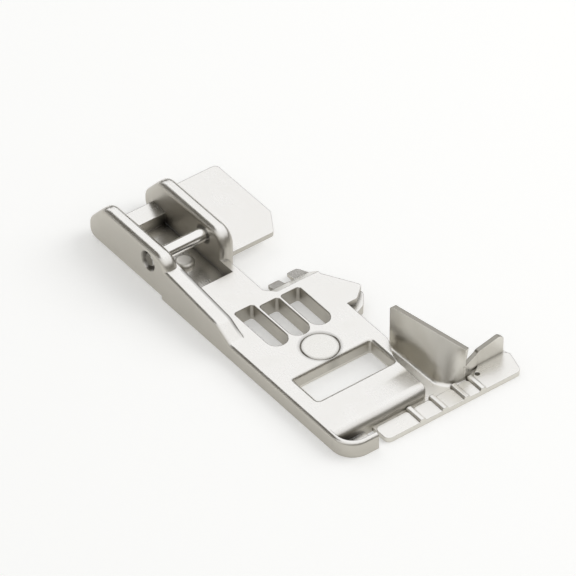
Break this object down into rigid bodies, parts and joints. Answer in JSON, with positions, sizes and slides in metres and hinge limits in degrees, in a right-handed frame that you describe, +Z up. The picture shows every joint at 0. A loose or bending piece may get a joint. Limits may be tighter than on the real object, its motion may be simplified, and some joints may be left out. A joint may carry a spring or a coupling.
{
  "type": "sewing machine presser foot",
  "caption": "Clip-on presser foot with a slotted sole, a side spur, a flat wing at the clevis and a folded edge guide with a ribbed lip.",
  "frame": {"origin": "middle of the snap bar between the two ears, on the bar's axis", "axes": "+X to the operator's right along the snap bar, +Y to the rear, +Z up from the sole"},
  "size_m": [0.024, 0.0465, 0.0059],
  "materials": {
    "polished_nickel": "polished nickel plate",
    "bright_sheet": "bright plated sheet steel",
    "ground_pin": "ground and polished steel pin",
    "rivet_steel": "faced rivet steel"
  },
  "bodies": {
    "root": {"foot_body": "polished_nickel", "guide_plate": "bright_sheet", "snap_bar": "ground_pin", "sole_rivet": "rivet_steel", "floor_rivet": "rivet_steel"}
  },
  "joints": []
}
